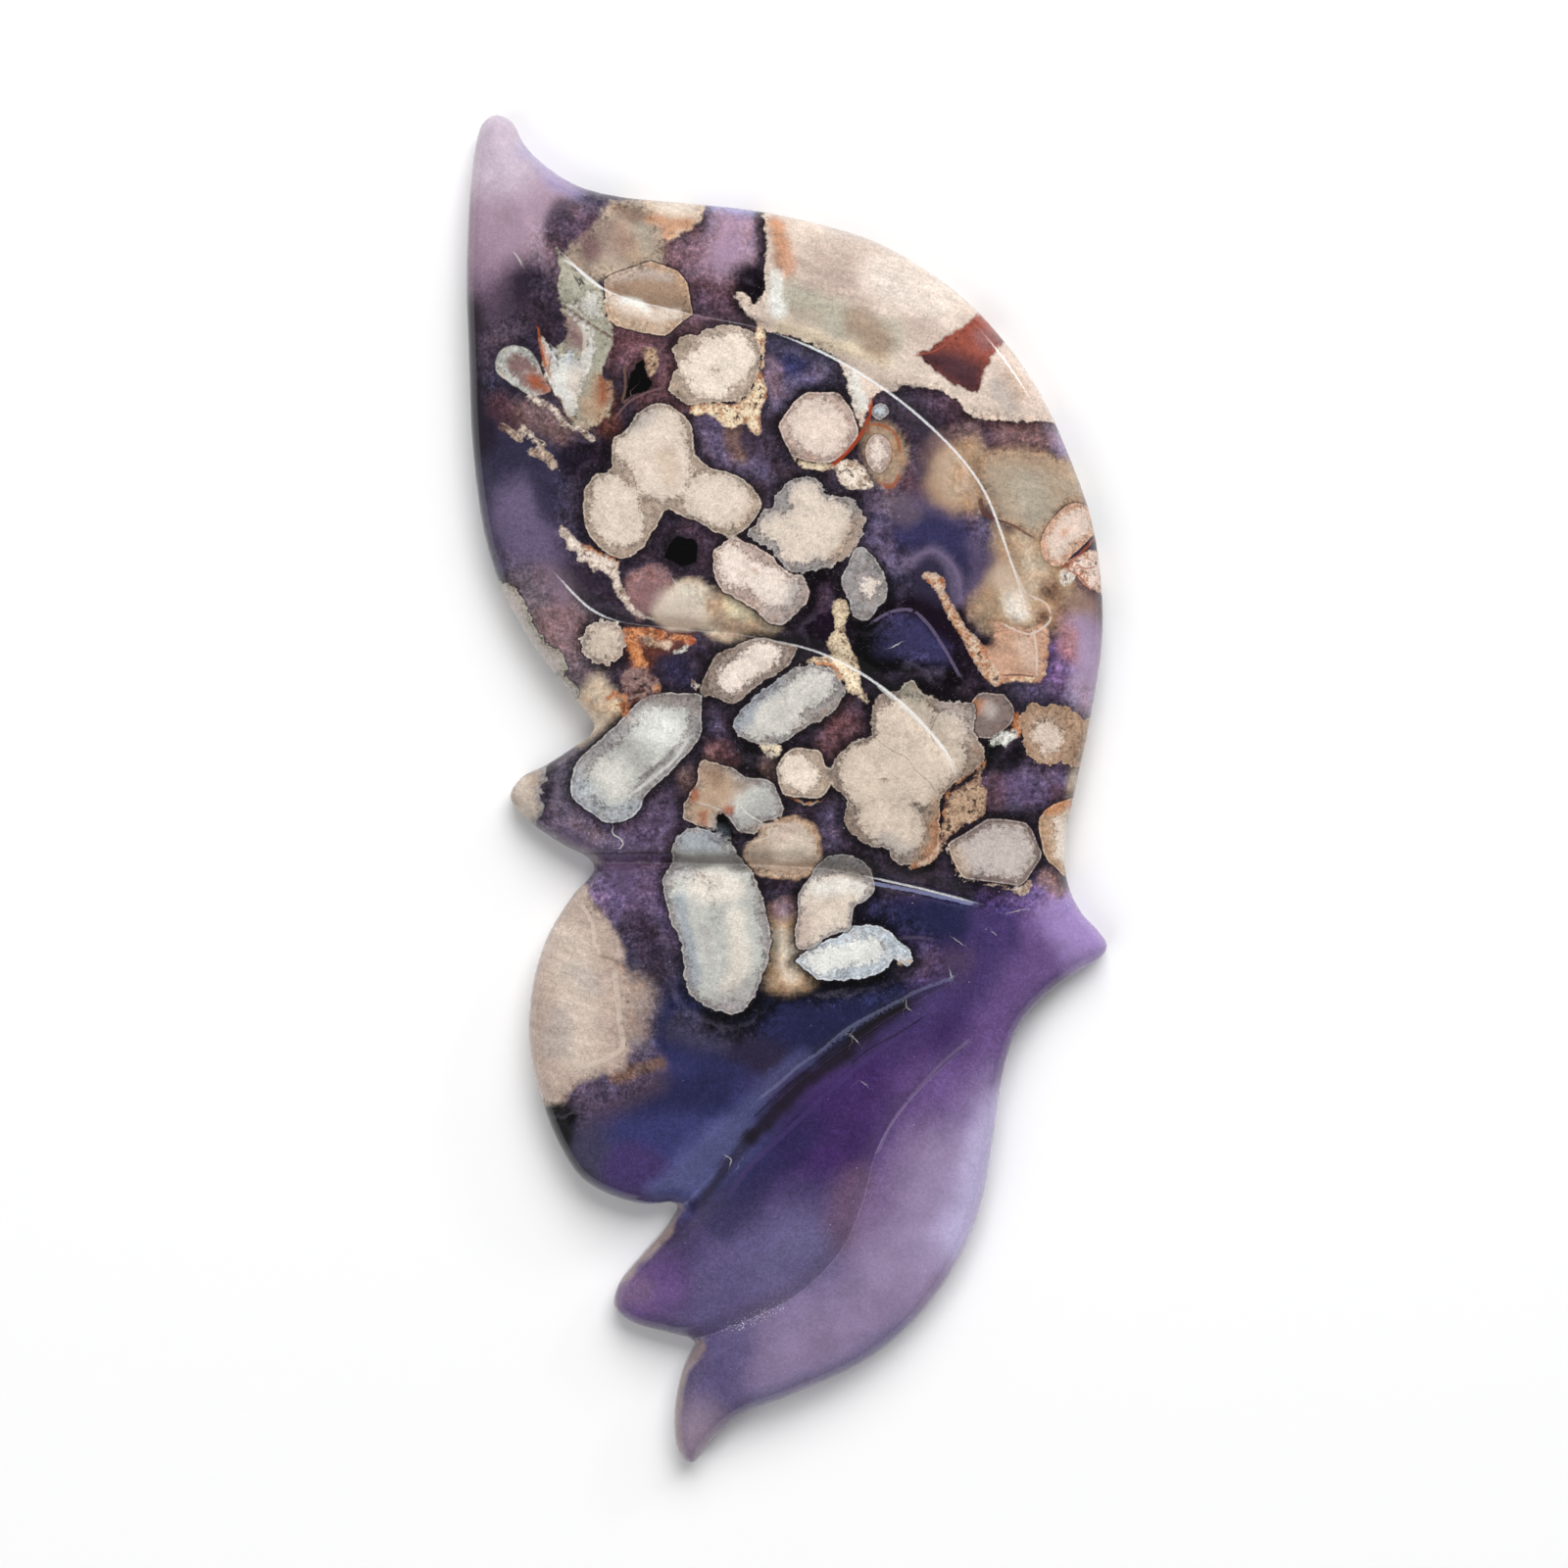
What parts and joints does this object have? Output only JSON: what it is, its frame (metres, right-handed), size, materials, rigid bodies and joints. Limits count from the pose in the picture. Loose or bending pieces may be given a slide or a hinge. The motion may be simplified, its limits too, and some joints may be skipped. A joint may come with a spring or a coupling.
{
  "type": "agate butterfly wing carving",
  "caption": "Single polished agate slab carved as a butterfly wing, with a flat back, rounded edge, pointed tips and incised lines on its face.",
  "frame": {"origin": "middle of the wing's outline box, on the surface that its flat back lies on", "axes": "+Z out of the carved face, +Y along the wing towards the forewing's pointed tip, +X towards the outer side with the hinge tip"},
  "size_m": [0.0569, 0.1199, 0.0065],
  "materials": {
    "agate": "polished banded purple agate with cream and grey crystal flowers and rust edges"
  },
  "bodies": {
    "root": {"wing": "agate"}
  },
  "joints": []
}
